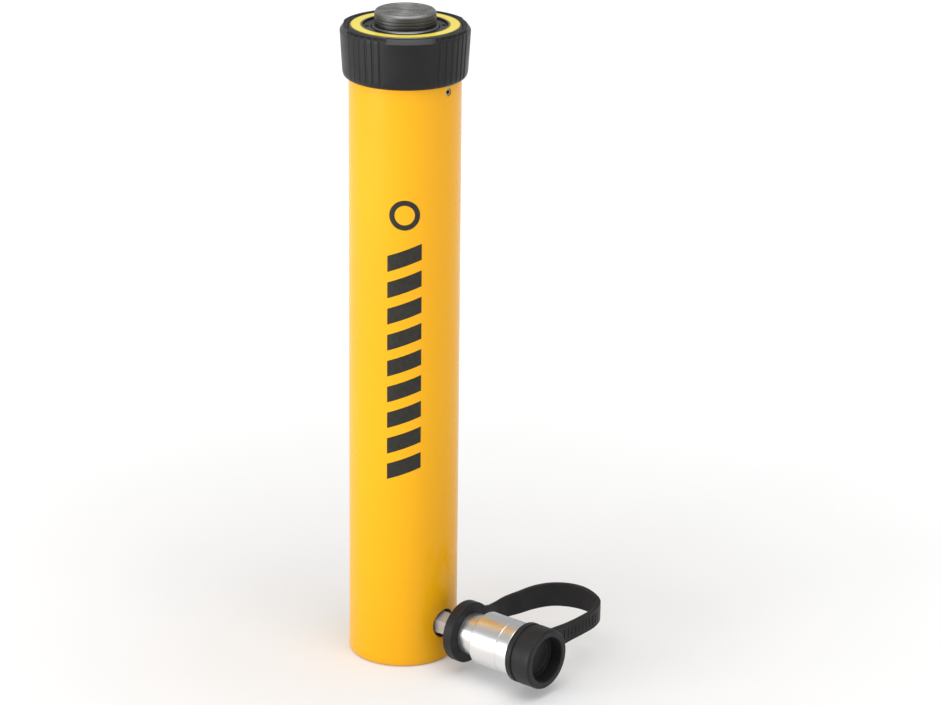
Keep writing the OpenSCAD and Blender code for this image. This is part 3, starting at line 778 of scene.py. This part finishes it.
def make_web(name, x, outline, inner_r, body):
    """Widens the strap into its ring or cap: a web between a circle and an outline of (y, z)."""
    angles = [math.atan2(z, y) for y, z in outline]
    stations = 120
    rows = []
    for i in range(stations + 1):
        a = angles[0] + (angles[-1] - angles[0]) * i / stations
        k = max(0, min(len(angles) - 2, sum(1 for b in angles if b > a) - 1))
        (y0, z0), (y1, z1) = outline[k], outline[k + 1]
        denominator = math.cos(a) * (z1 - z0) - math.sin(a) * (y1 - y0)
        outer_r = (y0 * z1 - z0 * y1) / denominator
        section = rounded([(inner_r, -2.3, 0), (outer_r, -STRAP_T / 2 - 0.1, 0.7),
                           (outer_r, STRAP_T / 2 + 0.1, 0.7), (inner_r, 2.3, 0)], True, 3)
        rows.append([(x + p[1], p[0] * math.cos(a), PORT_Z + p[0] * math.sin(a)) for p in section])
    verts = [v for row in rows for v in row]
    finish_piece(name, verts, strip(rows, False, True, caps=True), body, "cap_rubber", sharp=45.0)


def make_strap():
    """The tether, a little thicker where it grows out of the ring and the cap."""
    path = smooth_path([Vector(p) for p in STRAP_PATH], 8)

    def thick(i, last):
        near_end = min(i, last - i) / 20
        return STRAP_T + 0.5 * max(0.0, 1 - near_end) ** 2

    rows = sweep_strap([tuple(p) for p in path], thick)
    verts = [v for row in rows for v in row]
    faces = strip(rows, False, True, caps=True)
    piece = finish_piece("strap_band", verts, faces, None, "cap_rubber", ("cap_strap",), sharp=50.0)
    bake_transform(piece)
    make_web("ring_web", (RING_LO.x + RING_HI.x) / 2, RING_WEB, RING_R_IN + 1.5, "barrel")
    make_web("cap_web", CAP_WEB_X, CAP_WEB, NOSE_HI.y + 1.2, "dust_cap")


def make_strap_ribs():
    """Plain raised grip ribs on the strap's outer face, beside the cap."""
    path = smooth_path([Vector(p) for p in STRAP_PATH[-6:-1]], 12)
    for k in range(STRAP_RIBS):
        i = RIB_FIRST + RIB_STEP * k
        here, ahead = path[i], path[i + 1]
        heading = Vector((ahead.x - here.x, ahead.y - here.y, 0)).normalized()
        side = Vector((-heading.y, heading.x, 0))
        if side.x < 0:
            side = -side
        verts, rows = [], []
        length = here.w * 0.3
        stations, sides = 14, 12
        for s in range(stations + 1):
            t = -1 + 2 * s / stations
            ease = math.sqrt(max(0.02, 1 - abs(t) ** 6))
            centre = Vector(here[:3]) + side * (STRAP_T / 2 - 0.1) + Vector((0, 0, t * length))
            row = []
            for j in range(sides):
                b = 2 * math.pi * j / sides
                row.append(tuple(centre + side * RIB_R * 0.75 * ease * math.cos(b)
                                 + heading * RIB_R * ease * math.sin(b)))
            rows.append(row)
            verts += row
        faces = strip(rows, False, True, caps=True)
        finish_piece(f"strap_rib_{k + 1}", verts, faces, "dust_cap", "cap_rubber", sharp=60.0)


def make_strap_ring():
    """The ring that holds the tether to the neck."""
    r_in, r_out = RING_R_IN, -RING_LO.y
    x0, x1 = RING_LO.x, RING_HI.x
    profile = [(r_in, x0, 0.4), (r_out, x0, 1.1), (r_out, x1, 1.1), (r_in, x1, 0.5)]
    lathe("tether_ring", profile, "barrel", "cap_rubber", "X", COUPLER_AXIS, ("strap_ring",), 160)


def make_dust_cap():
    """A cup over the nose, with a recessed outer face round a shallow dish."""
    x0, x1 = CAP_LO.x, CAP_HI.x
    r = -CAP_LO.y
    recess = 14.8
    dish = 11.6
    inner = NOSE_HI.y + 0.35
    web0, web1 = NOSE_HI.x + 0.4, NOSE_HI.x + 2.6
    lip = x0 + 4.2
    profile = [
        (0, web0, 0), (inner, web0, 0.8), (inner, x0, 0.7), (r, x0, 1.0), (r, lip - 0.3, 0.5),
        (r - 1.1, lip + 0.1, 0.3), (r - 1.1, lip + 1.2, 0.3), (r, lip + 1.7, 0.6), (r, x1, 1.8),
        (recess, x1, 0.9), (recess - 0.5, web1, 1.6), (dish + 0.5, web1, 0.3),
        (dish, web1 + 0.7, 0.3), (dish - 0.7, web1 + 0.7, 0.3), (dish - 1.2, web1, 0.3),
        (0, web1, 0),
    ]
    lathe("cap_shell", profile, "dust_cap", "cap_rubber", "X", COUPLER_AXIS, ("dust_cap",), 192)


# ---------------------------------------------------------------- decal

DECAL_AZIMUTH = CAMERA_AZIMUTH - math.pi / 2
DECAL_W = 21.5
DECAL_Z0 = 129.5
DECAL_Z1 = 288.4
BAR_H = 10.4
BAR_PITCH = 17.2
BAR_RISE = 8.0
MARK_Z = 304.0
MARK_R = 9.6
MARK_STEPS = (0.0, 1.1, 2.2, 3.3)
INK_T = 0.06


def wrapped_patch(name, grid, wrap=False):
    """A thin film on the barrel: grid rows of (sideways, z) in millimetres."""
    rows_out, rows_in = [], []
    for row in grid:
        for target, lift in ((rows_out, INK_T), (rows_in, 0.01)):
            line = []
            for u, z in row:
                a = DECAL_AZIMUTH + u / BODY_R
                line.append(((BODY_R + lift) * math.cos(a), (BODY_R + lift) * math.sin(a), z))
            target.append(line)
    loop = [out + list(reversed(inner)) for out, inner in zip(rows_out, rows_in)]
    verts = [v for line in loop for v in line]
    faces = strip(loop, wrap, True, caps=not wrap)
    return finish_piece(name, verts, faces, "barrel", "protector_plastic", look=INK, sharp=30.0)


def make_decal():
    """A plain column of slanted bars under a plain ring."""
    count = int((DECAL_Z1 - DECAL_Z0 - BAR_RISE) / BAR_PITCH) + 1
    columns, rows = 24, 6
    for k in range(count):
        z = DECAL_Z0 + k * BAR_PITCH
        grid = []
        for j in range(rows + 1):
            up = z + BAR_H * j / rows
            grid.append([(-DECAL_W / 2 + DECAL_W * i / columns, up + BAR_RISE * i / columns)
                         for i in range(columns + 1)])
        wrapped_patch(f"decal_bar_{k + 1}", grid)
    sides = 64
    grid = []
    for s in range(sides):
        a = 2 * math.pi * s / sides
        grid.append([((MARK_R - w) * math.cos(a), MARK_Z + (MARK_R - w) * math.sin(a))
                     for w in MARK_STEPS])
    wrapped_patch("decal_ring", grid, wrap=True)


# ---------------------------------------------------------------- springs

SPRING_WIRE_R = 2.36
SPRING_TURNS = 68
VALVE_WIRE_R = 0.75
VALVE_TURNS = 9


def make_springs():
    """Coils that stand for the corrugated tubes of the CAD."""
    spring = coil("spring_wire", "Z", SPRING_LO.z, SPRING_HI.z, SPRING_HI.x, SPRING_WIRE_R,
                  SPRING_TURNS, "spring_steel")
    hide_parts("return_spring")
    valve_spring = coil("valve_spring_wire", "X", VALVE_SPRING_LO.x, VALVE_SPRING_HI.x,
                        VALVE_SPRING_HI.y, VALVE_WIRE_R, VALVE_TURNS, "spring_steel",
                        (0, PORT_Z))
    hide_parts("valve_spring")


# ---------------------------------------------------------------- CAD nodes that stay


def dress_cad_nodes():
    """Every carried-over CAD node takes its slot's procedural material."""
    slots = {s["node"]: s["material_slot"] for s in frame["record"]["subparts"]}
    for name, node in NODES.items():
        node.data.materials.clear()
        node.data.materials.append(LOOKS[slots[name]].mat)


# ---------------------------------------------------------------- stage


def area_light(name, place, target, size, power):
    """A soft box. Its place is turned with the camera, so x is to the camera's right."""
    data = bpy.data.lights.new(name, "AREA")
    data.shape = "RECTANGLE"
    data.size, data.size_y = size
    data.energy = power
    light = bpy.data.objects.new(name, data)
    bpy.context.scene.collection.objects.link(light)
    turn = Matrix.Rotation(CAMERA_AZIMUTH, 4, "Z")
    spot = turn @ Vector(place)
    light.matrix_world = (Matrix.Translation(spot)
                          @ (Vector(target) - spot).to_track_quat("-Z", "Y").to_matrix().to_4x4())


def make_stage():
    """A pale floor, a pale surround and soft lights, placed as seen from the camera."""
    scene = bpy.context.scene
    scene.view_settings.view_transform = "Standard"
    world = bpy.data.worlds.new("surround")
    world.use_nodes = True
    background = world.node_tree.nodes["Background"]
    background.inputs["Color"].default_value = (1, 1, 1, 1)
    background.inputs["Strength"].default_value = 0.45
    scene.world = world
    bpy.ops.mesh.primitive_circle_add(vertices=96, radius=30, fill_type="NGON")
    floor = bpy.context.object
    floor.name = "floor"
    floor.location.z = -0.3 * MM
    floor.data.materials.append(floor_look("floor_white").mat)
    middle = (0, 0, 0.2)
    area_light("key", (-1.6, -1.0, 0.42), middle, (1.2, 0.84), 22)
    area_light("fill", (1.7, -1.3, 0.8), middle, (1.0, 1.5), 5.5)
    area_light("top", (0.0, -0.65, 3.0), middle, (2.8, 2.8), 57)


# ---------------------------------------------------------------- build

make_camera()
make_stage()
dress_cad_nodes()
make_protector()
make_saddle()
make_coupler()
make_strap_ring()
make_strap()
make_strap_ribs()
make_dust_cap()
make_decal()
make_springs()
